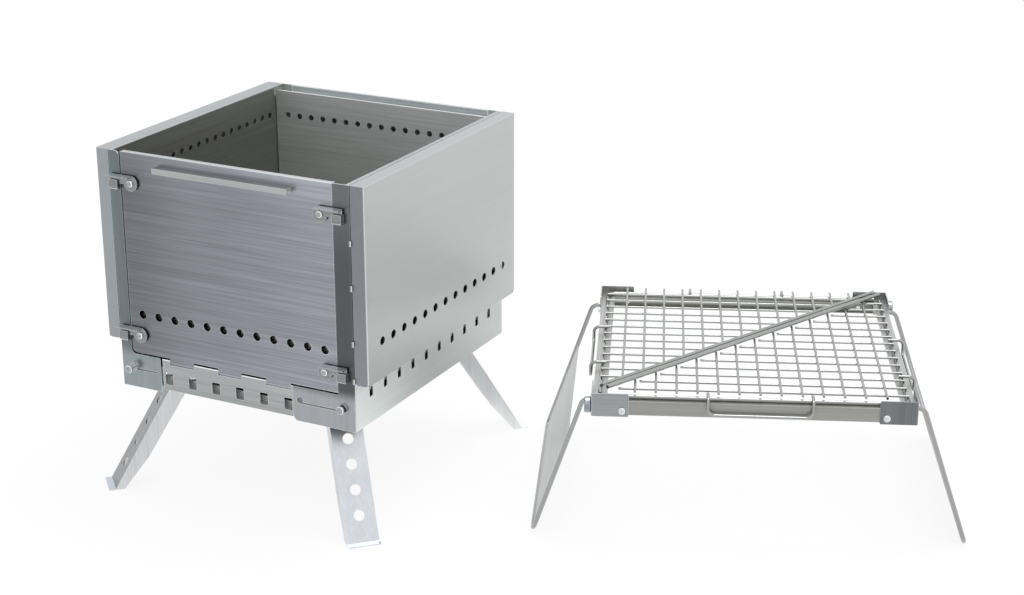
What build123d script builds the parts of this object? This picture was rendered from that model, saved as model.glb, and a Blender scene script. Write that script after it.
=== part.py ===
from build123d import *
import os
from math import cos, hypot, radians, sin, sqrt

# A stainless steel folding fire box on four splayed legs, with its folding grill stand beside it.
# Millimetres, +Z up, the ground at z = 0, +X to the right and +Y away from the door.

# Fire box: driving dimensions
sheet = 1.2                 # thickness of every folded sheet
pit_half = 197.0            # half the outer width over the side shells, and half the depth
body_half = 177.0           # half the width over the skirts and the posts
post_width = 20.0           # width of a back post's strip
skirt_bottom = 141.0        # height of the underside of the box
front_skirt_bottom = 145.6  # the front skirt stops a little higher than its foot plates
bend_outer, bend_inner = 2.0, 0.8   # radii of a folded edge
shell_bottom = 205.0        # height of the underside of the outer shells
rim = 460.0                 # height of the top of the box
wall_half = 173.4           # half the clear width between the side inner walls
back_wall_y = 177.0         # front face of the back inner wall
back_wall_top = 455.0       # the back inner wall stops below the rim
floor_z = 172.0             # underside of the bottom plate
ledge_z = 206.0             # underside of the ledge that carries the ash pan

# Air holes and windows
low_hole_z = 254.5          # row of large holes through the outer shells
low_hole_radius = 5.8
side_low_count, side_low_pitch = 13, 26.8
back_low_count = 11
high_hole_z = 421.0         # row of small holes through the inner walls
high_hole_radius = 4.2
side_high_count, back_high_count, high_pitch = 19, 17, 19.1
door_hole_z, door_hole_count, door_hole_pitch, door_hole_radius = 244.0, 12, 25.05, 5.8
door_hole_centre = -1.8
window_pitch, window_width = 35.0, 8.5
window_low, window_high, window_count = 176.0, 204.0, 10
front_window_pitch, front_window_width, front_window_height, front_window_z = 36.5, 12.2, 16.2, 161.3
front_window_first, front_window_count = -103.5, 6
window_corner = 1.5

# Foot plates of the two front posts, and the screws in their slots
foot_plate_left_end, foot_plate_right_end = -116.2, 86.6
foot_plate_gap = 3.3        # open gap between the left foot plate and the front skirt
slot_height, slot_z = 2.4, 166.4
left_slot, right_slot = (-158.6, -124.4), (96.3, 158.6)
slot_screw_z, slot_screw_radius = 169.6, 2.5
slot_screw_stands = (11.0, 4.5)     # how far the left and the right screw head stand off the plate
keyhole_radius = 4.3
slot_head_radius = 5.4
screw_head_radius, screw_head_height = 4.6, 2.8

# Door, its handle rail and its latches
door_half, door_centre, door_top = 156.0, -3.0, 459.4
door_return = 8.0           # depth of the door's folded side edges
left_gap, right_gap = 2.0, 0.5          # between the door and the posts
seam_high, seam_low = 187.6, 181.0      # the two levels of the skirt's castellated top edge
seam_gap, seam_side_gap = 2.6, 0.5      # below the door's edge, and beside its steps
tab_spans = ((-63.0, -26.0), (10.0, 47.0))      # the skirt's raised tabs
seam_ends = (-101.0, 84.0)              # outside these the seam is at its high level
tongue_depth = 7.0          # how far the door's tongues reach down behind the skirt
hem_depth, hem_height = 3.6, 2.4        # the folded hem along the high parts of the seam
door_corner, post_corner, post_top_corner = 6.0, 7.0, 8.0
handle_half, handle_centre_x, handle_z = 99.0, -4.0, 447.0
handle_reach, handle_drop, handle_sheet = 11.0, 7.0, 1.5
latch_x, latch_top_z, latch_low_z = 140.0, 420.0, 216.0
latch_sheet, latch_spacer = 1.5, 2.2
latch_reach, latch_end_radius = 31.5, 10.0
latch_flange = 11.0         # how far the finger flange stands forward
latch_pin_radius, latch_hole_radius = 2.5, 2.55
keeper_x, keeper_width = 165.0, 13.0
keeper_drop, keeper_rise = 9.6, 3.0

# Box legs: channels that splay out along the diagonals of the box
leg_splay = 30.6            # degrees from upright
leg_width, leg_sheet = 42.0, 1.5
leg_foot_out = 24.0         # how far a foot stands out from the corner, along the diagonal
leg_foot_lip = 8.0
leg_flange_low, leg_flange_high = 9.0, 22.0
leg_pivot_up, leg_pivot_in = 184.0, 11.0
leg_end_radius = 11.0
leg_hole_radius, leg_hole_first, leg_hole_pitch, leg_hole_count = 7.0, 36.0, 32.5, 4
hinge_pin_radius, hinge_clearance = 3.0, 0.05

# Grill stand: driving dimensions
stand_centre = (551.0, 172.0)   # from the middle of the fire box
stand_turn = 22.8               # degrees about +Z
stand_half = 197.5              # half the width over the corner brackets
rail_half = 196.0
rail_low, rail_high, rail_flange = 176.0, 194.0, 18.0
rail_cut = 163.0                # the side rails' faces stop here, short of the leg rods
bracket_low, bracket_high, bracket_length, bracket_sheet = 174.0, 204.0, 46.0, 1.5
rivet_inset, rivet_z = 37.5, 182.0
rivet_radius, rivet_head_radius, rivet_head, rivet_hole_radius = 2.5, 4.5, 2.4, 1.7

# Leg rods of the stand, which pivot inside the rail corners
rod_radius = 3.0
rod_y = 170.0
pivot_x, pivot_z = 186.0, 185.0
neck_x = 208.0                  # where the rod turns down, outside the frame
stand_foot_x = 270.0
pin_end_y = 192.0
web_top, web_corner = 58.0, 12.0
knob_y, knob_radius, knob_thickness = 187.0, 10.0, 8.0

# Wire grates, two triangles that meet on the diagonal
grate_half = 187.0
diagonal_gap = 7.0              # each half keeps this far from the diagonal, measured along X
rim_rod, wire_rod = 2.5, 1.55
wire_pitch = 25.4
grate_lift = 0.2                # clearance over the rails
bail_half, bail_rod = 63.5, 2.0
bail_centres = {"front": 8.0, "right": -44.8, "left": -22.7, "back": -10.0}


def block(x0, x1, y0, y1, z0, z1):
    middle = Pos((x0 + x1) / 2, (y0 + y1) / 2, (z0 + z1) / 2)
    return middle * Box(abs(x1 - x0), abs(y1 - y0), abs(z1 - z0))


def rod_between(start, end, radius):
    path = Line(start, end)
    return sweep(Plane(path @ 0, z_dir=path % 0) * Circle(radius), path=path)


def bent_rod(points, radii, radius):
    path = FilletPolyline(*points, radius=radii)
    return sweep(Plane(path @ 0, z_dir=path % 0) * Circle(radius), path=path)


def row(count, pitch, centre=0.0):
    return [centre + pitch * (index - (count - 1) / 2) for index in range(count)]


def window(place, facing, width, height):
    # a cutter for an upright window with rounded corners
    across = Vector(0, 0, 1).cross(Vector(facing))
    plane = Plane(origin=place, x_dir=across, z_dir=facing)
    return extrude(plane * RectangleRounded(width, height, window_corner), 3 * sheet, both=True)


def edges_along(shape, axis, place, reach=0.01):
    # the edges parallel to an axis whose middle is at the given place, where None is any value
    wanted = zip("XYZ", place)
    wanted = [(name, value) for name, value in wanted if value is not None]
    return [edge for edge in shape.edges().filter_by(axis)
            if all(abs(getattr(edge.center(), name) - value) < reach for name, value in wanted)]


def corner_cut(x, z, side, rise, radius, y0, y1):
    # removes a sharp corner of an upright sheet; side and rise point into the sheet
    square = block(x - side, x + side * radius, y0, y1, z - rise, z + rise * radius)
    middle = (x + side * radius, z + rise * radius)
    return square - rod_between((middle[0], y0 - 1, middle[1]), (middle[0], y1 + 1, middle[1]), radius)


def flip_x(shape):
    return mirror(shape, about=Plane.YZ)


def flip_y(shape):
    return mirror(shape, about=Plane.XZ)


def group(shapes):
    solids = []
    for shape in shapes:
        solids.extend(shape.solids())
    return Compound(solids)


nodes = {}


# Skirts: the four lower sheets of the box, with the air windows
def side_skirt():
    skirt = block(body_half - sheet, body_half, sheet - pit_half, pit_half - sheet, skirt_bottom, skirt_top)
    window_z, window_height = (window_low + window_high) / 2, window_high - window_low
    windows = [
        window((body_half, y, window_z), (1, 0, 0), window_width, window_height)
        for y in row(window_count, window_pitch)
    ]
    return skirt - windows


def hem(x0, x1):
    return block(x0, x1, -pit_half, hem_depth - pit_half, seam_high - hem_height, seam_high)


def front_skirt():
    front = -pit_half
    left, right = foot_plate_left_end + foot_plate_gap, foot_plate_right_end - seam_side_gap
    skirt = block(left, right, front, front + sheet, front_skirt_bottom, seam_low)
    for x0, x1 in ((left, seam_ends[0]), *tab_spans, (seam_ends[1], right)):
        skirt += block(x0, x1, front, front + sheet, seam_low, seam_high)
        skirt += hem(x0, x1)
    # strips that carry the skirt on, behind the foot plates
    strip_low, strip_high = slot_z - behind_strip_half, slot_z + behind_strip_half
    for x0, x1 in ((-skirt_end, left + behind_lap), (right - behind_lap, skirt_end)):
        skirt += block(x0, x1, front + sheet, front + 2 * sheet, strip_low, strip_high)
    windows = [
        window((x, front, front_window_z), (0, -1, 0), front_window_width, front_window_height)
        for x in [front_window_first + front_window_pitch * index for index in range(front_window_count)]
    ]
    screw_holes = [
        rod_between((x, front, slot_screw_z), (x, front + 4 * sheet, slot_screw_z), slot_screw_radius)
        for x in slot_screw_x
    ]
    return skirt - windows - screw_holes


skirt_top = 232.0           # the side skirts reach up behind the outer shells
skirt_end = 174.4
behind_strip_half, behind_lap = 9.0, 1.8
slot_screw_x = (left_slot[0], right_slot[1])

nodes["right_skirt"] = side_skirt()
nodes["left_skirt"] = flip_x(nodes["right_skirt"])
nodes["front_skirt"] = front_skirt()
nodes["back_skirt"] = block(-door_half, door_half, pit_half - sheet, pit_half, skirt_bottom, shell_bottom - 0.5)


# Corner posts: an angle with a strip on the face and a return along the side
def post(width):
    strip = block(body_half - width, body_half, -pit_half, sheet - pit_half, skirt_bottom, rim)
    side = block(body_half - 2 * sheet, body_half - sheet, -pit_half, -pit_half + post_return,
                 skirt_bottom, rim - sheet - 0.2)
    return strip + side


def slot(x0, x1):
    y0, y1 = -pit_half - 1, 1 - pit_half + sheet
    cutter = block(x0, x1, y0, y1, slot_z - slot_height / 2, slot_z + slot_height / 2)
    for x in (x0, x1):
        cutter += rod_between((x, y0, slot_z), (x, y1, slot_z), slot_height / 2)
    return cutter


def round_hole(x, z, radius):
    return rod_between((x, -pit_half - 1, z), (x, 1 - pit_half + sheet, z), radius)


def foot_plate(x0, x1, corner_radius):
    plate = block(x0, x1, -pit_half, sheet - pit_half, skirt_bottom, seam_high)
    inner = x1 if x0 < 0 else x0
    return fillet(edges_along(plate, Axis.Y, (inner, None, skirt_bottom)), corner_radius)


post_return = 24.0
foot_corners = (2.5, 6.5)   # radii of the lower inner corners of the left and right foot plates
left_door_edge, right_door_edge = door_centre - door_half, door_centre + door_half
left_post_edge, right_post_edge = left_door_edge - left_gap, right_door_edge + right_gap
left_post = flip_x(post(body_half + left_post_edge))
right_post = post(body_half - right_post_edge)
left_post += foot_plate(-body_half, foot_plate_left_end, foot_corners[0])
right_post += foot_plate(foot_plate_right_end, body_half, foot_corners[1])
inner_corner = edges_along(left_post, Axis.Y, (left_post_edge, None, seam_high))
left_post = fillet(inner_corner, post_corner)
top_corner = edges_along(left_post, Axis.Y, (left_post_edge, None, rim))
left_post = fillet(top_corner, post_top_corner)
left_post += hem(left_door_edge + post_corner + 1, foot_plate_left_end)
right_post += hem(foot_plate_right_end, right_door_edge - 2)
keyhole = round_hole(right_slot[0], slot_screw_z, keyhole_radius)
screw_holes = {x: round_hole(x, slot_screw_z, slot_screw_radius) for x in slot_screw_x}
nodes["front_right_post"] = right_post - slot(*right_slot) - keyhole - screw_holes[right_slot[1]]
nodes["front_left_post"] = left_post - slot(*left_slot) - screw_holes[left_slot[0]]
nodes["back_right_post"] = flip_y(post(post_width))
nodes["back_left_post"] = flip_x(nodes["back_right_post"])


def slot_screw(x, stand):
    z, plate_y = slot_screw_z, -pit_half
    head_y, face_y = plate_y - stand, plate_y - stand - screw_head_height
    shank = rod_between((x, head_y, z), (x, plate_y + 3 * sheet, z), slot_screw_radius)
    head = rod_between((x, face_y, z), (x, head_y, z), slot_head_radius)
    head = fillet([edge for edge in head.edges() if abs(edge.center().Y - face_y) < 0.1], 1.2)
    socket = rod_between((x, face_y - 1, z), (x, face_y + 1.4, z), screw_socket_radius)
    washer = rod_between((x, plate_y - sheet, z), (x, plate_y, z), screw_washer_radius)
    return shank + head + washer - socket


screw_socket_radius, screw_washer_radius = 2.2, 6.4
nodes["slot_screws"] = group(slot_screw(x, stand) for x, stand in zip(slot_screw_x, slot_screw_stands))


# Outer shells: shallow pans that stand off the body and carry the lower hole row
def side_shell():
    inner = body_half + 1.0
    depth = pit_half
    shell = block(depth - sheet, depth, -depth, depth, shell_bottom, rim)
    shell += block(inner, depth, -depth, sheet - depth, shell_bottom, rim)
    shell += block(inner, depth, depth - sheet, depth, shell_bottom, rim)
    shell += block(inner, depth, -depth, depth, rim - sheet, rim)
    shell += block(body_half, depth, -depth, depth, shell_bottom, shell_bottom + sheet)
    outer_bends = [edge for y in (-depth, depth) for edge in edges_along(shell, Axis.Z, (depth, y, None))]
    shell = fillet(outer_bends, bend_outer)
    inside = depth - sheet
    inner_bends = [edge for y in (-inside, inside) for edge in edges_along(shell, Axis.Z, (inside, y, None))]
    shell = fillet(inner_bends, bend_inner)
    for y0, y1 in ((-depth - 1, 3 * sheet - depth), (depth - 3 * sheet, depth + 1)):
        shell -= corner_cut(inner, shell_bottom, 1, 1, shell_corner, y0, y1)
        shell -= corner_cut(depth, shell_bottom, -1, 1, shell_corner, y0, y1)
    holes = [
        rod_between((depth - 3, y, low_hole_z), (depth + 3, y, low_hole_z), low_hole_radius)
        for y in row(side_low_count, side_low_pitch)
    ]
    return shell - holes


def back_shell():
    outer = pit_half
    half = door_half + 0.5
    shell = block(-half, half, outer - sheet, outer, shell_bottom, rim)
    shell += block(-half, half, outer - 4, outer, rim - sheet, rim)
    shell += block(-half, half, back_wall_y + sheet, outer, trough_z, trough_z + sheet)
    shell += block(-trough_end, trough_end, back_wall_y + sheet, outer - 1.5 * sheet, trough_z, trough_z + sheet)
    shell += block(-half, half, back_wall_y + sheet, outer, shell_bottom, shell_bottom + sheet)
    holes = [
        rod_between((x, outer - 3, low_hole_z), (x, outer + 3, low_hole_z), low_hole_radius)
        for x in row(back_low_count, side_low_pitch)
    ]
    return shell - holes


trough_z = 446.0            # floor of the open trough behind the back inner wall
trough_end = 174.0          # the floor runs on into the corners, between the posts
shell_corner = 5.0          # the lower corners of the shells' front and back faces are rounded
nodes["right_outer_shell"] = side_shell()
nodes["left_outer_shell"] = flip_x(nodes["right_outer_shell"])
nodes["back_outer_shell"] = back_shell()


# Inner walls, with the hem along the rim, the ledge for the ash pan and the upper hole row
def side_wall():
    front, back = 2 * sheet - pit_half, back_wall_y - wall_corner_gap
    wall = block(wall_half, wall_half + sheet, front, back, wall_low, rim)
    wall += block(wall_half - 2, body_half, sheet - pit_half, pit_half - sheet, rim - sheet, rim)
    wall += block(wall_half - ledge_width, wall_half, front + 4, back, ledge_z, ledge_z + sheet)
    holes = [
        rod_between((wall_half - 2, y, high_hole_z), (wall_half + 3, y, high_hole_z), high_hole_radius)
        for y in row(side_high_count, high_pitch, (front + back) / 2)
    ]
    return wall - holes


def back_wall():
    half = wall_half - wall_side_gap
    wall = block(-half, half, back_wall_y, back_wall_y + sheet, ledge_z, back_wall_top)
    wall += block(-half, half, back_wall_y, back_wall_y + 3, back_wall_top - 2.4, back_wall_top)
    wall += block(ledge_width - half, half - ledge_width, back_wall_y - ledge_width, back_wall_y,
                  ledge_z, ledge_z + sheet)
    holes = [
        rod_between((x, back_wall_y - 2, high_hole_z), (x, back_wall_y + 3, high_hole_z), high_hole_radius)
        for x in row(back_high_count, high_pitch)
    ]
    return wall - holes


ledge_width = 13.0
wall_low = 184.0            # the side walls reach down behind the upper part of the side windows
wall_corner_gap, wall_side_gap = 3.0, 1.5
nodes["right_inner_wall"] = side_wall()
nodes["left_inner_wall"] = flip_x(nodes["right_inner_wall"])
nodes["back_inner_wall"] = back_wall()


# Bottom plate with air holes, the ash pan on the ledges and the perforated fire plate on the pan
def hole_grid(count, pitch, radius, z0, z1, y_centre=0.0):
    return [
        rod_between((x, y, z0), (x, y, z1), radius)
        for x in row(count, pitch)
        for y in row(count, pitch, y_centre)
    ]


bottom_half = body_half - 2 * sheet
chamber_y = (back_wall_y - pit_half) / 2        # middle of the chamber, front to back
pan_half, pan_front, pan_back = 171.0, -188.0, 175.0
pan_body, pan_floor_z = 157.0, 178.0
pan_flange_z = ledge_z + sheet + 0.1
bottom = block(-bottom_half, bottom_half, 3 * sheet - pit_half, pit_half - 2 * sheet, floor_z, floor_z + sheet)
nodes["bottom_plate"] = bottom - hole_grid(7, 44.0, 8.0, floor_z - 1, floor_z + 3)

pan = block(-pan_half, pan_half, pan_front, pan_back, pan_flange_z, pan_flange_z + sheet)
pan += block(-pan_body, pan_body, chamber_y - pan_body, chamber_y + pan_body, pan_floor_z, pan_flange_z + sheet)
pan -= block(sheet - pan_body, pan_body - sheet, chamber_y - pan_body + sheet, chamber_y + pan_body - sheet,
             pan_floor_z + sheet, pan_flange_z + 2 * sheet)
nodes["ash_pan"] = pan

plate_z = pan_flange_z + sheet + 0.1
fire_plate_sheet = 2.0
fire_plate = block(-168, 168, pan_front + 2, pan_back - 2, plate_z, plate_z + fire_plate_sheet)
nodes["fire_plate"] = fire_plate - hole_grid(9, 34.0, 6.0, plate_z - 1, plate_z + 4, chamber_y)


# Knuckles of the corner hinges, seen as small bright bits in the joint between post and shell
def knuckle(x, y, z):
    return rod_between((x, y, z - knuckle_half), (x, y, z + knuckle_half), knuckle_radius)


knuckle_radius, knuckle_half = 1.6, 3.5
knuckle_heights = (210.0, 259.0, 331.0, 388.0)
knuckle_places = ((body_half + 0.5, -pit_half - knuckle_radius), (-body_half - 0.5, pit_half + knuckle_radius))
nodes["corner_hinge_knuckles"] = group(knuckle(x, y, z) for x, y in knuckle_places for z in knuckle_heights)


# Door panel: one sheet with folded edges, tongues behind the front skirt and a row of air holes
def door_panel():
    front = -pit_half
    left, right = left_door_edge, right_door_edge
    high, low = seam_high + seam_gap, seam_low + seam_gap
    panel = block(left, right, front, front + sheet, high, door_top)
    panel = fillet(edges_along(panel, Axis.Y, (left, None, high)), door_corner)
    step_starts = (seam_ends[0], *[end for start, end in tab_spans])
    step_ends = (*[start for start, end in tab_spans], seam_ends[1])
    for x0, x1 in zip(step_starts, step_ends):
        panel += block(x0 + seam_side_gap, x1 - seam_side_gap, front, front + sheet, low, high)
        panel += block(x0 + 1, x1 - 1, front + sheet, front + 2 * sheet, low - tongue_depth, high)
    panel += block(left, right, front, front + 2 * sheet, door_top - 2 * sheet, door_top)
    for x in (left, right - sheet):
        panel += block(x, x + sheet, front, front + door_return, high + door_corner, door_top)
    holes = [
        rod_between((x, front - 2, door_hole_z), (x, front + 3, door_hole_z), door_hole_radius)
        for x in row(door_hole_count, door_hole_pitch, door_hole_centre)
    ]
    screws = [
        rod_between((x, front - 1, z), (x, front + sheet, z), latch_pin_radius)
        for x, z in latch_pivots.values()
    ]
    return panel - holes - screws


latch_pivots = {
    "top_left": (door_centre - latch_x, latch_top_z),
    "top_right": (door_centre + latch_x, latch_top_z),
    "bottom_left": (door_centre - latch_x, latch_low_z),
    "bottom_right": (door_centre + latch_x, latch_low_z),
}
nodes["door_panel"] = door_panel()


def door_inner_panel():
    # the door is double walled as the sides are: a second sheet across its folded edges, with the small holes
    left, right = left_door_edge + sheet, right_door_edge - sheet
    back = -pit_half + door_return
    panel = block(left, right, back - sheet, back, inner_panel_low, door_top)
    panel += block(left, right, 2 * sheet - pit_half, back, door_top - sheet, door_top)
    holes = [
        rod_between((x, back - 3, high_hole_z), (x, back + 3, high_hole_z), high_hole_radius)
        for x in row(door_high_count, high_pitch, door_centre)
    ]
    return panel - holes


inner_panel_low, door_high_count = 200.0, 15
nodes["door_inner_panel"] = door_inner_panel()

# Handle rail: an angle strip on the door, with a lip turned down in front
handle_x0, handle_x1 = handle_centre_x - handle_half, handle_centre_x + handle_half
handle_front = -pit_half - handle_reach
handle = block(handle_x0, handle_x1, handle_front, -pit_half, handle_z - handle_sheet, handle_z)
for y in (handle_front, -pit_half - handle_sheet):
    handle += block(handle_x0, handle_x1, y, y + handle_sheet, handle_z - handle_drop, handle_z)
nodes["door_handle_rail"] = handle


# Latches: a plate with a round end on its screw, a finger flange on top and a hook in the keeper
latch_back_y = -pit_half - latch_spacer
latch_front_y = latch_back_y - latch_sheet


def latch_plate():
    # drawn for a latch whose hook points to -X, with its screw at the origin of X and Z
    plate = rod_between((0, latch_front_y, 0), (0, latch_back_y, 0), latch_end_radius)
    plate += block(-latch_reach, 0, latch_front_y, latch_back_y, -1.5, latch_end_radius)
    plate += block(-latch_reach, 7 - latch_reach, latch_front_y, latch_back_y, -7.5, 0)
    plate += block(-latch_reach, 3, latch_back_y - latch_flange, latch_back_y,
                   latch_end_radius - latch_sheet, latch_end_radius)
    return plate - rod_between((0, latch_front_y - 1, 0), (0, latch_back_y + 1, 0), latch_hole_radius)


def latch_screw(x, z):
    shank = rod_between((x, latch_front_y - 0.1, z), (x, -pit_half + sheet + 2, z), latch_pin_radius)
    head = rod_between((x, latch_front_y - 0.1 - screw_head_height, z), (x, latch_front_y - 0.1, z),
                       screw_head_radius)
    front_edges = [edge for edge in head.edges() if edge.center().Y < latch_front_y - screw_head_height]
    return fillet(front_edges, 1.8) + shank


def latch_washer(x, z):
    washer = rod_between((x, latch_back_y + 0.1, z), (x, -pit_half, z), screw_head_radius)
    return washer - rod_between((x, latch_back_y, z), (x, -pit_half, z), latch_pin_radius)


def keeper(pivot_x, z):
    # an upturned U on the post, open at the top, that the hook drops into
    middle = door_centre + (keeper_x if pivot_x > 0 else -keeper_x)
    x0, x1 = middle - keeper_width / 2, middle + keeper_width / 2
    low = z - keeper_drop
    back_y, lip_y = -pit_half, latch_front_y - 1.6 - latch_sheet
    clip = block(x0, x1, lip_y, back_y, low, z + keeper_rise)
    clip = fillet(edges_along(clip, Axis.X, (None, lip_y, low)), bend_outer)
    inside = block(x0 - 1, x1 + 1, lip_y + latch_sheet, back_y - sheet, low + latch_sheet, z + keeper_rise + 1)
    clip -= fillet(edges_along(inside, Axis.X, (None, lip_y + latch_sheet, low + latch_sheet)), bend_inner)
    return clip


latch_shape = latch_plate()
for place, (x, z) in latch_pivots.items():
    shape = latch_shape if x < 0 else flip_x(latch_shape)
    nodes["latch_" + place] = Pos(x, 0, z) * shape
nodes["latch_screws"] = group(latch_screw(x, z) for x, z in latch_pivots.values())
nodes["latch_washers"] = group(latch_washer(x, z) for x, z in latch_pivots.values())
nodes["latch_keepers"] = group(keeper(x, z) for x, z in latch_pivots.values())


# Box legs, drawn at the front right corner
splay = radians(leg_splay)
leg_up = Vector(-sin(splay) / sqrt(2), sin(splay) / sqrt(2), cos(splay))
leg_in = Vector(-cos(splay) / sqrt(2), cos(splay) / sqrt(2), -sin(splay))
leg_foot = Vector(body_half + leg_foot_out / sqrt(2), -pit_half - leg_foot_out / sqrt(2), 0)
leg_pivot = leg_foot + leg_up * leg_pivot_up + leg_in * leg_pivot_in
leg_side = Vector(1, 1, 0).normalized()
leg_frame = Plane(origin=leg_foot, x_dir=leg_up, z_dir=leg_side)
leg_top = leg_pivot_up + 6


def leg():
    # in the leg's own frame X runs up the leg, Y runs outward from the box and Z across the leg
    half = leg_width / 2
    web = block(-4, leg_top, -leg_sheet, 0, -half, half)
    outline = Polyline((-4, 0), (leg_top, 0), (leg_top, -leg_pivot_in),
                       (leg_top - 8, -leg_flange_high), (60, -leg_flange_high + 3), (-4, -leg_flange_low), (-4, 0))
    cheek = extrude(Plane.XY * make_face(outline), leg_sheet)
    tip = Pos(leg_pivot_up, -leg_pivot_in, 0) * extrude(Circle(leg_end_radius), leg_sheet)
    cheek = Pos(0, 0, half - leg_sheet) * (cheek + tip)
    leg_shape = web + cheek + mirror(cheek, about=Plane.XY)
    leg_shape -= Pos(leg_pivot_up, -leg_pivot_in, 0) * Cylinder(hinge_pin_radius + hinge_clearance, 3 * half)
    for index in range(leg_hole_count):
        up = leg_hole_first + leg_hole_pitch * index
        leg_shape -= Pos(up, 0, 0) * Rot(X=90) * Cylinder(leg_hole_radius, 8)
    placed = leg_frame * leg_shape
    placed -= block(-2 * pit_half, 2 * pit_half, -2 * pit_half, 2 * pit_half, -30, 0)
    lip_start = leg_foot - leg_side * half
    lip_plane = Plane(origin=lip_start, x_dir=Vector(1, -1, 0).normalized(), z_dir=(0, 0, 1))
    lip = extrude(lip_plane * Pos(leg_foot_lip / 2 - 1.5, half) * Rectangle(leg_foot_lip + 3, leg_width), leg_sheet)
    return placed + lip


def hinge_pin():
    half = leg_width / 2 + bracket_gap + leg_sheet
    pin = rod_between(leg_pivot - leg_side * half, leg_pivot + leg_side * half, hinge_pin_radius)
    for side in (-1, 1):
        head_start = leg_pivot + leg_side * (side * half)
        pin += rod_between(head_start, head_start + leg_side * (2 * side), hinge_pin_radius + 2)
    return pin


def hinge_bracket():
    # a U of sheet under the bottom plate, one ear outside each cheek of the leg
    half = leg_width / 2 + bracket_gap
    frame = Plane(origin=leg_pivot, x_dir=Vector(-1, 1, 0).normalized(), z_dir=leg_side)
    top = floor_z - leg_pivot.Z
    ear = Pos(0, (top - bracket_drop) / 2, half + leg_sheet / 2) * Box(bracket_width, top + bracket_drop, leg_sheet)
    roof = Pos(0, top - leg_sheet / 2, 0) * Box(bracket_width, leg_sheet, 2 * half)
    bracket = frame * (ear + mirror(ear, about=Plane.XY) + roof)
    bore = rod_between(leg_pivot - leg_side * (2 * half), leg_pivot + leg_side * (2 * half), hinge_pin_radius)
    return bracket - bore


bracket_gap = 0.3           # between a leg's cheek and a bracket's ear
bracket_width, bracket_drop = 18.0, 7.0
front_right = {"leg": leg(), "pin": hinge_pin(), "bracket": hinge_bracket()}
corners = {
    "front_right": lambda shape: shape,
    "front_left": flip_x,
    "back_right": flip_y,
    "back_left": lambda shape: flip_x(flip_y(shape)),
}
for corner, place in corners.items():
    nodes["leg_" + corner] = place(front_right["leg"])
nodes["leg_hinge_pins"] = group(place(front_right["pin"]) for place in corners.values())
nodes["leg_hinge_brackets"] = group(place(front_right["bracket"]) for place in corners.values())


# Base tray between the skirts, seen through the front windows, cut out where the legs pass
def base_tray():
    x1, y1 = body_half - sheet, pit_half - tray_inset
    tray = block(-x1, x1, -y1, y1, tray_floor, tray_top)
    tray -= block(sheet - x1, x1 - sheet, sheet - y1, y1 - sheet, tray_floor + sheet, tray_top + 1)
    tray += block(-x1, x1, -y1, 2 * sheet - y1, tray_top - tray_hem, tray_top)
    for x_side in (-1, 1):
        for y_side in (-1, 1):
            pivot = (x_side * abs(leg_pivot.X), y_side * abs(leg_pivot.Y))
            turn = Rot(Z=45 * x_side * y_side)
            notch = Pos(tray_notch_length / 2 * x_side - tray_notch_start * x_side, 0, 0)
            cutter = notch * Box(tray_notch_length, 2 * tray_notch_half, 4 * tray_top)
            tray -= Pos(*pivot, 0) * turn * cutter
    return tray


tray_floor, tray_top, tray_hem, tray_inset = 146.4, 162.0, 3.0, 8.0
tray_notch_start, tray_notch_half, tray_notch_length = 28.0, 28.0, 130.0
nodes["base_tray"] = base_tray()


# Grill stand, in its own frame: the middle of its footprint at the origin
stand = {}


def front_rail():
    low, high = rail_low, rail_high
    rail = block(-rail_half, rail_half, -rail_half, sheet - rail_half, low, high)
    rail += block(-rail_half, rail_half, -rail_half, rail_flange - rail_half, high - sheet, high)
    rail += block(-rail_half, rail_half, -rail_half, rail_flange / 2 - rail_half, low, low + sheet)
    bores = [
        rod_between((x, -rail_half - 1, rivet_z), (x, 5 - rail_half, rivet_z), rivet_radius)
        for x in (-rivet_x, rivet_x)
    ]
    return rail - bores


def side_rail():
    low, high = rail_low, rail_high
    inner = rail_half - rail_flange
    rail = block(rail_half - sheet, rail_half, -rail_cut, rail_cut, low, high)
    rail += block(inner, rail_half, -inner + 0.2, inner - 0.2, high - sheet, high)
    rail += block(rail_half - rail_flange / 2, rail_half, -rail_cut, rail_cut, low, low + sheet)
    bores = [
        rod_between((rail_half + 1, y, rivet_z), (rail_half - 5, y, rivet_z), rivet_radius)
        for y in (-rivet_y, rivet_y)
    ]
    return rail - bores


def corner_bracket():
    # front right bracket: an angle with rounded corners and a slot for the leg rod in its side
    near, far = stand_half - bracket_length, stand_half
    angle = block(near, far, -far, bracket_sheet - far, bracket_low, bracket_high)
    angle += block(far - bracket_sheet, far, -far, -near, bracket_low, bracket_high)
    angle = fillet(edges_along(angle, Axis.Z, (far, -far, None)), bend_outer)
    for z in (bracket_low, bracket_high):
        angle = fillet(edges_along(angle, Axis.Y, (near, None, z)), bracket_corner)
        angle = fillet(edges_along(angle, Axis.X, (None, -near, z)), bracket_corner)
    rod_slot = block(stand_half - 4, stand_half + 1, -rod_y - rod_slot_half, -rod_y + rod_slot_half,
                     bracket_low - 1, pivot_z)
    rod_slot += rod_between((stand_half - 4, -rod_y, pivot_z), (stand_half + 1, -rod_y, pivot_z), rod_slot_half)
    stud_hole = rod_between((stand_half - 4, -knob_y, pivot_z), (stand_half + 1, -knob_y, pivot_z), rod_radius + 0.1)
    front_bore = rod_between((rivet_x, -stand_half - 1, rivet_z), (rivet_x, 5 - stand_half, rivet_z), rivet_radius)
    side_bore = rod_between((stand_half + 1, -rivet_y, rivet_z), (stand_half - 5, -rivet_y, rivet_z), rivet_radius)
    return angle - rod_slot - stud_hole - front_bore - side_bore


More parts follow.
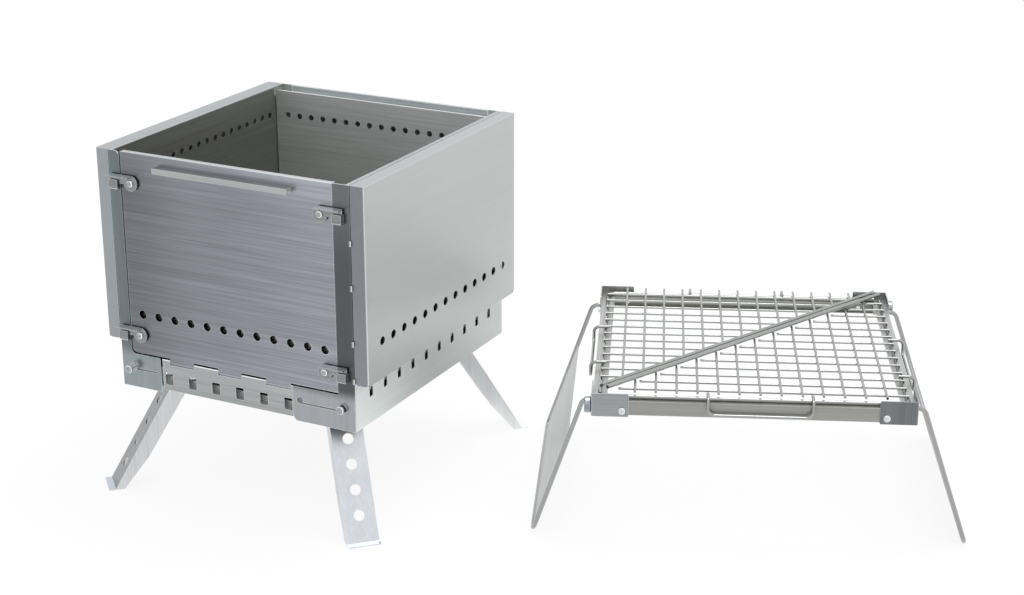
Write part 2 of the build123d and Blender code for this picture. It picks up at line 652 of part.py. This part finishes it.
def rivet(start, outward):
    # a blind rivet: a domed head with a hole in it, and a shank through bracket and rail
    start, outward = Vector(start), Vector(outward)
    shank = rod_between(start - outward * (bracket_sheet + 2 * sheet), start, rivet_radius)
    head = rod_between(start, start + outward * rivet_head, rivet_head_radius)
    hole = rod_between(start - outward, start + outward * (rivet_head + 1), rivet_hole_radius)
    outer = [edge for edge in head.edges() if (edge.center() - start).dot(outward) > rivet_head - 0.1]
    return fillet(outer, 1.2) + shank - hole


def pivot_lug():
    # an upright plate in the end of the front rail that holds the end of a leg rod
    low, high = rail_low + sheet, rail_high - sheet
    lug = block(pivot_x - 7, rail_half - 0.3, -lug_y - 0.8, -lug_y + 0.8, low, high)
    bore = rod_between((pivot_x, -lug_y - 2, pivot_z), (pivot_x, -lug_y + 2, pivot_z), rod_radius + hinge_clearance)
    return lug - bore


rivet_x = stand_half - rivet_inset
rivet_y = stand_half - bracket_length + 6
rod_slot_half, bracket_corner = 4.5, 2.0
lug_y = 180.0
stand["front_rail"] = front_rail()
stand["back_rail"] = flip_y(stand["front_rail"])
stand["right_rail"] = side_rail()
stand["left_rail"] = flip_x(stand["right_rail"])
bracket_shape = corner_bracket()
lug_shape = pivot_lug()
for corner, place in corners.items():
    stand["bracket_" + corner] = place(bracket_shape)
stand["pivot_lugs"] = group(place(lug_shape) for place in corners.values())
rivet_pair = [
    rivet((rivet_x, -stand_half, rivet_z), (0, -1, 0)),
    rivet((stand_half, -rivet_y, rivet_z), (1, 0, 0)),
]
stand["rivets"] = group(place(shape) for place in corners.values() for shape in rivet_pair)

# Leg rods: a U with its ends turned into the rail corners, and a plate welded inside the U
leg_points = [
    (pivot_x, -pin_end_y, pivot_z), (pivot_x, -rod_y, pivot_z), (neck_x, -rod_y, pivot_z),
    (stand_foot_x, -rod_y, rod_radius), (stand_foot_x, rod_y, rod_radius),
    (neck_x, rod_y, pivot_z), (pivot_x, rod_y, pivot_z), (pivot_x, pin_end_y, pivot_z),
]
leg_bends = [6.0, 11.0, 14.0, 14.0, 11.0, 6.0]
stand["right_leg_rod"] = bent_rod(leg_points, leg_bends, rod_radius)
stand["left_leg_rod"] = flip_x(stand["right_leg_rod"])

web_run, web_rise = stand_foot_x - neck_x, rod_radius - pivot_z
web_length = hypot(web_run, web_rise)
web_plane = Plane(origin=(neck_x, 0, pivot_z), x_dir=(0, 1, 0), z_dir=(web_rise, 0, -web_run))
web_half = rod_y - rod_radius
web_low = web_length - rod_radius
web_centre = (web_top + web_low) / 2
web_face = Pos(0, web_centre) * RectangleRounded(2 * web_half, web_low - web_top, web_corner)
web = extrude(web_face, sheet / 2, both=True)
for x in (12 - web_half, web_half - 12):
    for y in (web_top + 9, web_low - 9):
        web -= Pos(x, y, 0) * Cylinder(2.5, 4)
stand["right_leg_plate"] = web_plane * web
stand["left_leg_plate"] = flip_x(stand["right_leg_plate"])


# Lock knobs: a round knob on a stud that bears on the end of a leg rod
def lock_knob():
    outer = stand_half + 0.3
    knob = rod_between((outer, knob_y, pivot_z), (outer + knob_thickness, knob_y, pivot_z), knob_radius)
    rims = [edge for edge in knob.edges() if edge.length > 2 * knob_radius]
    knob = fillet(rims, 1.5)
    stud_end = pivot_x + rod_radius + 0.4
    return knob + rod_between((stud_end, knob_y, pivot_z), (outer, knob_y, pivot_z), rod_radius)


stand["right_leg_knob"] = lock_knob()
stand["left_leg_knob"] = flip_x(flip_y(stand["right_leg_knob"]))

# Wire grates: rim rods, cross wires over them and long wires on top
rail_top = rail_high + grate_lift
rim_z = rail_top + rim_rod
cross_z = rim_z + rim_rod + wire_rod
long_z = cross_z + 2 * wire_rod
diagonal_z = long_z + wire_rod + rim_rod
overhang = 1.0
grid = [wire_pitch * index for index in range(-6, 8)]


def grate_rim():
    # back left triangle: an outer rod round two sides under the wires, and a diagonal rod on top of them
    reach = grate_half
    points = [(-reach, diagonal_gap - reach, rim_z), (-reach, reach, rim_z), (reach - diagonal_gap, reach, rim_z)]
    outer = bent_rod(points, [12.0], rim_rod)
    low, high = diagonal_inset - reach, reach - diagonal_inset
    diagonal = rod_between((low, low + diagonal_gap, diagonal_z), (high - diagonal_gap, high, diagonal_z), rim_rod)
    return group([outer, diagonal])


def cross_wires():
    wires = []
    for y in [value - 6 for value in grid]:
        right_end = y - diagonal_gap
        if right_end > 20 - grate_half and y < grate_half - 4:
            wires.append(rod_between((-grate_half - overhang, y, cross_z), (right_end, y, cross_z), wire_rod))
    return wires


def long_wires():
    wires = []
    for x in [value - 8 for value in grid]:
        low_end = x + diagonal_gap
        if x > 10 - grate_half and low_end < grate_half - 20:
            wires.append(rod_between((x, low_end, long_z), (x, grate_half + overhang, long_z), wire_rod))
    return wires


def bail(side):
    # a wire handle that is welded on the rim, reaches over the rail and hangs outside it
    start, out, low = grate_half - 5, stand_half + 4.5, rail_low + 5
    top = rim_z + rim_rod + bail_rod
    points = [(-bail_half, start, top), (-bail_half, out, top), (-bail_half, out, low),
              (bail_half, out, low), (bail_half, out, top), (bail_half, start, top)]
    shape = bent_rod(points, [7.0, 9.0, 9.0, 7.0], bail_rod)
    turn = {"back": 0, "left": 90, "front": 180, "right": 270}[side]
    shift = bail_centres[side]
    offset = Pos(shift, 0, 0) if side in ("front", "back") else Pos(0, shift, 0)
    return offset * (Rot(Z=turn) * shape)


diagonal_inset = 2.0
half_turn = Rot(Z=180)
stand["back_grate_rim"] = grate_rim()
stand["back_grate_cross_wires"] = group(cross_wires())
stand["back_grate_long_wires"] = group(long_wires())
stand["back_grate_handles"] = group([bail("back"), bail("left")])
stand["front_grate_rim"] = half_turn * stand["back_grate_rim"]
stand["front_grate_cross_wires"] = half_turn * stand["back_grate_cross_wires"]
stand["front_grate_long_wires"] = half_turn * stand["back_grate_long_wires"]
stand["front_grate_handles"] = group([bail("front"), bail("right")])

stand_place = Pos(stand_centre[0], stand_centre[1], 0) * Rot(Z=stand_turn)
for name, shape in stand.items():
    nodes["stand_" + name] = stand_place * shape

# The origin is moved to the middle of the whole footprint, on the ground
whole = Compound([solid for shape in nodes.values() for solid in shape.solids()]).bounding_box()
middle = ((whole.min.X + whole.max.X) / 2, (whole.min.Y + whole.max.Y) / 2)
to_origin = Pos(-middle[0], -middle[1], 0)

os.makedirs("parts", exist_ok=True)
for name, shape in nodes.items():
    export_step(to_origin * shape, "parts/" + name + ".step")
print(len(nodes), "nodes; fire box centre at", round(-middle[0], 2), round(-middle[1], 2))
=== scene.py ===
import bpy
from math import radians
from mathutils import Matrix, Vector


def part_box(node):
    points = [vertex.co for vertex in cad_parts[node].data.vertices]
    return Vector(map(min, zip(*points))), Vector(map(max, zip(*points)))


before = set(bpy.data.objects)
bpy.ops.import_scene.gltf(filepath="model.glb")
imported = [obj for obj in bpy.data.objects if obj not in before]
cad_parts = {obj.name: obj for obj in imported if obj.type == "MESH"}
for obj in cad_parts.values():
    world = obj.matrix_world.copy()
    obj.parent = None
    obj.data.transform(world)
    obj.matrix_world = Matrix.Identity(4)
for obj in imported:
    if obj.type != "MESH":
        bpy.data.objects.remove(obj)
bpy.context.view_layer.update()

# Camera, at the photograph's viewing angle
PICTURE_WIDTH, SENSOR_WIDTH = 1024, 36.0
FOCAL_PIXELS = 2000.0
CAMERA_PLACE = (1.0557, -2.2336, 1.136)
CAMERA_PITCH, CAMERA_HEADING = radians(90 - 19.77), radians(27.02)

camera_data = bpy.data.cameras.new("camera")
camera_data.sensor_fit = "HORIZONTAL"
camera_data.sensor_width = SENSOR_WIDTH
camera_data.lens = FOCAL_PIXELS / PICTURE_WIDTH * SENSOR_WIDTH
camera_data.clip_end = 20.0
camera = bpy.data.objects.new("camera", camera_data)
camera.location = CAMERA_PLACE
camera.rotation_euler = (CAMERA_PITCH, 0.0, CAMERA_HEADING)
bpy.context.scene.collection.objects.link(camera)
bpy.context.scene.camera = camera

# Brushed stainless steel. Each facing has its own painted tone, standing in for soft light from above:
# front and back faces, side faces, and level ones. The brush lines run along one axis.
FINE_LINES, FINE_LENGTH = 820.0, 9.0        # brush lines per metre across them, and breaks along them
STREAKS, STREAK_LENGTH = 260.0, 4.0         # longer and stronger strokes of the same brush
BANDS, BAND_LENGTH = 60.0, 1.2              # broad bands that the strokes gather into
CLOUD_SIZE = 3.5                            # faint patches, per metre
NOISE_ROUGHNESS = 0.6
EDGE_WIDTH = 0.0011                         # painted highlight along a sheet's edges
EDGE_SAMPLES = 6
EDGE_GAIN = 3.4                             # brings a square edge's mask up to 1
BEND_GAIN = 2.0                             # brings a bend's mask up to 1 midway between two axes
BRUSH_SHINE = 0.16                          # how far the roughness varies from line to line
BRUSH_RELIEF, BRUSH_DEPTH = 0.12, 0.0004
STAND_TURN = radians(22.8)                  # the grill stand is set down at this angle to the fire box


class Wiring:
    """adds shader nodes to a new material and joins them"""

    def __init__(self, name):
        self.material = bpy.data.materials.new(name)
        self.material.use_nodes = True
        self.tree = self.material.node_tree
        self.shader = self.tree.nodes["Principled BSDF"]

    def add(self, kind, **settings):
        node = self.tree.nodes.new(kind)
        for key, value in settings.items():
            setattr(node, key, value)
        return node

    def put(self, source, target):
        if isinstance(source, bpy.types.NodeSocket):
            self.tree.links.new(source, target)
        else:
            target.default_value = source

    def maths(self, operation, first, second=0.0, third=0.0, clamp=False):
        node = self.add("ShaderNodeMath", operation=operation, use_clamp=clamp)
        for socket, value in zip(node.inputs, (first, second, third)):
            self.put(value, socket)
        return node.outputs[0]

    def vector_maths(self, operation, first, second):
        node = self.add("ShaderNodeVectorMath", operation=operation)
        self.put(first, node.inputs[0])
        self.put(second, node.inputs["Scale" if operation == "SCALE" else 1])
        return node.outputs["Value" if operation == "DOT_PRODUCT" else "Vector"]

    def noise(self, place, detail):
        node = self.add("ShaderNodeTexNoise")
        node.inputs["Scale"].default_value = 1.0
        node.inputs["Detail"].default_value = detail
        node.inputs["Roughness"].default_value = NOISE_ROUGHNESS
        self.put(place, node.inputs["Vector"])
        return node.outputs["Fac"]

    def turned(self, vector, turn):
        node = self.add("ShaderNodeVectorRotate", rotation_type="Z_AXIS")
        self.put(vector, node.inputs["Vector"])
        node.inputs["Angle"].default_value = -turn
        return node.outputs["Vector"]

    def brushed(self, place, axis, along, across, detail=3.0):
        """noise that is drawn out along one axis"""
        scale = [across, across, across]
        scale["XYZ".index(axis)] = along
        return self.noise(self.vector_maths("MULTIPLY", place, tuple(scale)), detail)

    def facing_colour(self, squares, front, side, top):
        """mixes three colours by the squares of the normal's parts, which add up to 1, as painted light and
        shade by facing
        """
        shares = self.add("ShaderNodeSeparateXYZ")
        self.put(squares, shares.inputs["Vector"])
        parts = [self.vector_maths("SCALE", colour, shares.outputs[axis])
                 for axis, colour in (("X", side), ("Y", front), ("Z", top))]
        return self.vector_maths("ADD", self.vector_maths("ADD", parts[0], parts[1]), parts[2])

    def bend_highlight_mask(self, squares):
        """0 on a face along an axis, and up to 1 on a rounded bend between two of them, where a painted
        highlight goes
        """
        flatness = self.vector_maths("DOT_PRODUCT", squares, squares)
        return self.maths("MULTIPLY", self.maths("SUBTRACT", 1.0, flatness), BEND_GAIN, clamp=True)

    def edge_highlight_mask(self):
        """0 on a flat face, and 1 at a square edge, where the painted highlight goes"""
        bevel = self.add("ShaderNodeBevel", samples=EDGE_SAMPLES)
        bevel.inputs["Radius"].default_value = EDGE_WIDTH
        flat = self.add("ShaderNodeNewGeometry").outputs["Normal"]
        same = self.vector_maths("DOT_PRODUCT", bevel.outputs["Normal"], flat)
        return self.maths("MULTIPLY", self.maths("SUBTRACT", 1.0, same), EDGE_GAIN, clamp=True)

    def along(self, place, axis, stops):
        """a tone that changes smoothly between stops, each a place on the axis and the tone there"""
        position = self.add("ShaderNodeSeparateXYZ")
        self.put(place, position.inputs["Vector"])
        value = stops[0][1]
        for (low, low_tone), (high, high_tone) in zip(stops, stops[1:]):
            ramp = self.add("ShaderNodeMapRange", clamp=True, interpolation_type="SMOOTHSTEP")
            self.put(position.outputs[axis], ramp.inputs["Value"])
            settings = (low, high, 1.0, high_tone / low_tone)
            for key, amount in zip(("From Min", "From Max", "To Min", "To Max"), settings):
                ramp.inputs[key].default_value = amount
            value = self.maths("MULTIPLY", ramp.outputs["Result"], value)
        return value


def shade(colour, factor):
    return tuple(part * factor for part in colour)


def steel(name, front, side=1.3, top=1.55, axis="X", turn=0.0, roughness=0.34, lines=0.24, streaks=0.20,
          bands=0.14, clouds=0.12, edge=1.4, bend=0.5, metallic=1.0, tones=(), slopes=()):
    """front is the colour of faces towards the door or away from it; side and top are colours, or
    factors on front, for painted light and shade by facing. lines, streaks, bands and clouds are the
    strengths of the brush marks, edge and bend how much brighter the painted highlights on edges and
    bends are. tones paint light and shade by place, and slopes by how level a face is."""
    nodes = Wiring(name)
    coordinates = nodes.add("ShaderNodeTexCoord")
    place = nodes.turned(coordinates.outputs["Object"], turn)
    normal = nodes.turned(coordinates.outputs["Normal"], turn)
    side, top = [value if isinstance(value, tuple) else shade(front, value) for value in (side, top)]
    fine = nodes.brushed(place, axis, FINE_LENGTH, FINE_LINES)
    long = nodes.brushed(place, axis, STREAK_LENGTH, STREAKS)
    broad = nodes.brushed(place, axis, BAND_LENGTH, BANDS, detail=4.0)
    cloud = nodes.noise(nodes.vector_maths("SCALE", place, CLOUD_SIZE), detail=1.5)
    squares = nodes.vector_maths("MULTIPLY", normal, normal)

    # painted highlight on edges
    tone = nodes.maths("MULTIPLY_ADD", nodes.edge_highlight_mask(), edge, 1.0)
    # painted highlight on bends
    tone = nodes.maths("MULTIPLY", tone, nodes.maths("MULTIPLY_ADD", nodes.bend_highlight_mask(squares), bend, 1.0))
    for value, amount in ((fine, lines), (long, streaks), (broad, bands), (cloud, clouds)):
        from_middle = nodes.maths("SUBTRACT", value, 0.5)
        tone = nodes.maths("MULTIPLY", tone, nodes.maths("MULTIPLY_ADD", from_middle, 2.0 * amount, 1.0))
    # painted light and shade along a line
    for line, stops in tones:
        tone = nodes.maths("MULTIPLY", tone, nodes.along(coordinates.outputs["Object"], line, stops))
    # painted shade by how level a face is
    if slopes:
        tone = nodes.maths("MULTIPLY", tone, nodes.along(squares, "Z", slopes))

    # painted light and shade by facing
    colour = nodes.vector_maths("SCALE", nodes.facing_colour(squares, front, side, top), tone)
    nodes.put(colour, nodes.shader.inputs["Base Color"])
    nodes.shader.inputs["Metallic"].default_value = metallic
    shine = nodes.maths("MULTIPLY_ADD", fine, BRUSH_SHINE, roughness - BRUSH_SHINE / 2)
    nodes.put(shine, nodes.shader.inputs["Roughness"])
    relief = nodes.add("ShaderNodeBump")
    relief.inputs["Strength"].default_value = BRUSH_RELIEF
    relief.inputs["Distance"].default_value = BRUSH_DEPTH
    nodes.put(fine, relief.inputs["Height"])
    nodes.put(relief.outputs["Normal"], nodes.shader.inputs["Normal"])
    return nodes.material


def dress(material, *names):
    for name in names:
        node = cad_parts[name]
        node.data.materials.clear()
        node.data.materials.append(material)


# Fire box, outside. Heights and places are in metres, for painted light and shade that change along a sheet.
SHELL_SIDE, SHELL_TOP = (0.475, 0.50, 0.49), (0.375, 0.395, 0.405)


def shell_steel(name, front, top=SHELL_TOP, tones=()):
    """the smooth, nearly even sheet of the side shells"""
    return steel(name, front, SHELL_SIDE, top, "Y", lines=0.06, streaks=0.04, bands=0.03, clouds=0.04,
                 edge=0.9, bend=0.7, metallic=0.45, tones=tones)


SHEET = 0.0012                  # thickness of the steel
door_low, door_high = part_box("door_panel")
front_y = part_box("right_outer_shell")[0][1]
sheet_back = front_y + SHEET
# painted shade on the skirt's inner side, behind its front sheet
shaded_inside = ("Y", ((sheet_back - 0.00008, 1.0), (sheet_back + 0.00005, 0.22)))
# painted highlight along the top edges of the skirt's tabs
tab_top_painted_highlight = ("Z", ((0.1858, 1.0), (0.1863, 2.1)))
# painted reflection: the door darker at the left, lighter to the right and at the top
door_tones = (("X", ((door_low[0], 0.60), (door_low[0] + 0.12, 0.86), (door_high[0], 1.05))),
              ("Z", ((0.19, 1.06), (0.26, 1.0), (0.40, 1.0), (0.455, 1.16))))
# painted light on the side skirts, stronger towards the front
lit_from_front = ("Y", ((front_y, 1.60), (front_y + 0.20, 1.04)))

dress(steel("door_brushed", (0.300, 0.313, 0.343), lines=0.40, streaks=0.26, bands=0.20, edge=2.2,
            tones=door_tones), "door_panel")
dress(steel("handle_brushed", (0.42, 0.43, 0.43), top=0.75, edge=1.0, metallic=0.8), "door_handle_rail")
# painted light on the right shell, lighter towards the bottom
dress(shell_steel("right_shell_brushed", (0.205, 0.215, 0.235), tones=[("Z", ((0.18, 1.15), (0.38, 1.0)))]),
      "right_outer_shell")
dress(shell_steel("left_shell_brushed", (0.31, 0.335, 0.355), top=shade(SHELL_TOP, 0.9)), "left_outer_shell")
# painted light on the back shell's trough at the top, where it lies in shade
dress(steel("back_shell_brushed", (0.42, 0.44, 0.44), SHELL_SIDE, SHELL_TOP, metallic=0.6,
            tones=[("Z", ((0.44, 1.0), (0.447, 1.5)))]), "back_outer_shell", "back_skirt")
dress(steel("skirt_brushed", (0.40, 0.415, 0.415), top=1.9, edge=2.0, tones=[shaded_inside, tab_top_painted_highlight]),
      "front_skirt")
dress(steel("side_skirt_brushed", (0.40, 0.42, 0.41), (0.62, 0.65, 0.64), axis="Y", lines=0.10, streaks=0.06,
            bands=0.06, edge=0.6, metallic=0.4, tones=[lit_from_front]), "left_skirt", "right_skirt")
# painted light at the left post's foot, with painted light on its top faces
dress(steel("left_post_brushed", (0.173, 0.195, 0.206), top=2.6, axis="Z", lines=0.10, streaks=0.10, edge=2.4,
            tones=[("Z", ((0.18, 1.80), (0.20, 1.0)))]), "front_left_post")
# painted reflection on the right post: dark front, lighter foot plate and top
dress(steel("right_post_brushed", (0.110, 0.116, 0.122), top=4.0, axis="Z", lines=0.08, streaks=0.08,
            bands=0.10, edge=2.6, tones=[("Z", ((0.178, 3.4), (0.196, 0.95), (0.36, 0.95), (0.44, 1.45)))]),
      "front_right_post")
dress(steel("back_post_brushed", (0.50, 0.51, 0.49), 1.0, 1.0, axis="Z", metallic=0.5), "back_left_post",
      "back_right_post")

# Fire box, inside, with a duller sheet
dress(steel("door_inner_dull", (0.50, 0.50, 0.48), top=(0.50, 0.52, 0.52)), "door_inner_panel")
# painted light on the low strip seen through the side windows, and darker higher up
dress(steel("side_inner_dull", (0.31, 0.315, 0.295), 1.0, (0.45, 0.47, 0.49), "Y", roughness=0.42,
            tones=[("Z", ((0.204, 2.6), (0.207, 1.18), (0.30, 1.10), (0.42, 0.90), (0.458, 1.0)))]),
      "left_inner_wall", "right_inner_wall")
dress(steel("back_inner_dull", (0.84, 0.87, 0.87), 1.0, 1.0, roughness=0.42, metallic=0.85),
      "back_inner_wall")
dress(steel("chamber_dull", (0.56, 0.56, 0.54), 1.0, 1.0, roughness=0.45), "bottom_plate", "ash_pan",
      "fire_plate")
dress(steel("tray_grey", (0.43, 0.445, 0.44), 1.0, 1.0, roughness=0.45, metallic=0.3), "base_tray")

# Latches, screws and hinges
dress(steel("latch_bright", (0.27, 0.28, 0.29), 1.1, 2.7, roughness=0.24, lines=0.10, edge=1.5, metallic=0.8),
      "latch_top_left", "latch_top_right", "latch_bottom_left", "latch_bottom_right")
dress(steel("keeper_grey", (0.26, 0.275, 0.28), top=2.6, edge=2.4, bend=1.6, metallic=0.85), "latch_keepers")
dress(steel("screw_bright", (0.36, 0.37, 0.39), 1.1, 1.5, axis="Z", roughness=0.16, lines=0.04, streaks=0.04,
            bands=0.04, edge=0.5, bend=1.5), "latch_screws", "slot_screws", "leg_hinge_pins", "stand_rivets")
dress(steel("washer_shaded", (0.16, 0.165, 0.17)), "latch_washers")
dress(steel("hinge_bright", (0.34, 0.35, 0.35), axis="Z", roughness=0.25, bend=0.9), "corner_hinge_knuckles")
dress(steel("bracket_dull", (0.36, 0.37, 0.37)), "leg_hinge_brackets", "stand_pivot_lugs")

# Legs. The right ones have painted light, and the left ones painted shade on their webs.
dress(steel("leg_light", (0.68, 0.71, 0.75), 1.0, 1.0, axis="Z", lines=0.12, streaks=0.10, edge=0.2,
            bend=0.0), "leg_front_right")
dress(steel("leg_far", (0.90, 0.92, 0.92), 1.0, 1.0, axis="Z", lines=0.10, streaks=0.08, edge=0.2, bend=0.0,
            metallic=0.5), "leg_back_right")
dress(steel("leg_shaded", (0.68, 0.69, 0.70), 1.0, (0.62, 0.66, 0.74), axis="Z", edge=0.6, bend=0.0,
            slopes=((0.05, 1.0), (0.20, 0.45), (0.50, 0.45), (0.90, 0.9))), "leg_front_left", "leg_back_left")

# Grill stand
WIRE_PARTS = ("rim", "cross_wires", "long_wires", "handles")
GRATES = ["stand_" + half + "_grate_" + part for half in ("front", "back") for part in WIRE_PARTS]
dress(steel("rail_along", (0.31, 0.31, 0.295), 1.2, 1.5, turn=STAND_TURN, metallic=0.8), "stand_front_rail",
      "stand_back_rail")
dress(steel("rail_across", (0.32, 0.325, 0.32), 1.0, 1.5, "Y", STAND_TURN, metallic=0.8), "stand_left_rail",
      "stand_right_rail")
# the corner brackets are copies of one steel, each with painted light or shade for what it faces
dress(steel("corner_level", (0.31, 0.325, 0.33), 1.0, 1.3, turn=STAND_TURN, metallic=0.8),
      "stand_bracket_front_left", "stand_bracket_back_right")
dress(steel("corner_upright", (0.18, 0.19, 0.195), 1.4, 1.5, "Z", STAND_TURN), "stand_bracket_front_right")
dress(steel("corner_far", (0.33, 0.33, 0.32), 1.0, 1.3, "Z", STAND_TURN, metallic=0.6),
      "stand_bracket_back_left")
dress(steel("wire_bright", (0.34, 0.35, 0.342), 1.0, 1.1, turn=STAND_TURN, roughness=0.18, lines=0.03,
            streaks=0.03, bands=0.05, edge=0.0, bend=0.15),
      "stand_left_leg_rod", "stand_right_leg_rod", *GRATES)
dress(steel("stand_plate_brushed", (0.46, 0.475, 0.48), 1.0, 1.0, "Y", STAND_TURN, bend=0.0, metallic=0.8),
      "stand_left_leg_plate", "stand_right_leg_plate")
dress(steel("knob_satin", (0.22, 0.235, 0.26), 1.2, 1.6, axis="Z", roughness=0.28), "stand_left_leg_knob",
      "stand_right_leg_knob")

# A broad soft lamp overhead, which puts a highlight on rods, bends and screw heads
LAMP_SIZE, LAMP_ENERGY = 1.3, 20.0
LAMP_PLACE = (0.25, 0.35, 2.4)
LAMP_TILT = (radians(-8), radians(6), 0.0)
lamp_data = bpy.data.lights.new("lamp", "AREA")
lamp_data.shape = "DISK"
lamp_data.size = LAMP_SIZE
lamp_data.energy = LAMP_ENERGY
lamp = bpy.data.objects.new("lamp", lamp_data)
lamp.location = LAMP_PLACE
lamp.rotation_euler = LAMP_TILT
bpy.context.scene.collection.objects.link(lamp)

# Floor, white to the camera and in reflections, with the object's soft shadow kept
FLOOR_HALF, FLOOR_WHITE = 6.0, 0.95
GLOW_SHARE = 0.88               # the rest is the lit floor, which carries the shadow
corners = [(-FLOOR_HALF, -FLOOR_HALF, 0), (FLOOR_HALF, -FLOOR_HALF, 0), (FLOOR_HALF, FLOOR_HALF, 0),
           (-FLOOR_HALF, FLOOR_HALF, 0)]
floor_mesh = bpy.data.meshes.new("floor")
floor_mesh.from_pydata(corners, [], [(0, 1, 2, 3)])
floor = bpy.data.objects.new("floor", floor_mesh)
bpy.context.scene.collection.objects.link(floor)
white = Wiring("floor_white")
white.shader.inputs["Base Color"].default_value = (FLOOR_WHITE, FLOOR_WHITE, FLOOR_WHITE, 1)
white.shader.inputs["Specular IOR Level"].default_value = 0.0
glow = white.add("ShaderNodeEmission")
rays = white.add("ShaderNodeLightPath")
seen = white.maths("MAXIMUM", rays.outputs["Is Camera Ray"], rays.outputs["Is Glossy Ray"])
blend = white.add("ShaderNodeMixShader")
white.put(white.maths("MULTIPLY", seen, GLOW_SHARE), blend.inputs["Fac"])
white.put(white.shader.outputs["BSDF"], blend.inputs[1])
white.put(glow.outputs["Emission"], blend.inputs[2])
white.put(blend.outputs["Shader"], white.tree.nodes["Material Output"].inputs["Surface"])
floor_mesh.materials.append(white.material)

world = bpy.data.worlds.new("world")
bpy.context.scene.world = world
world.use_nodes = True
world.node_tree.nodes["Background"].inputs["Color"].default_value = (1, 1, 1, 1)
world.node_tree.nodes["Background"].inputs["Strength"].default_value = 1.0
bpy.context.scene.view_settings.view_transform = "Standard"
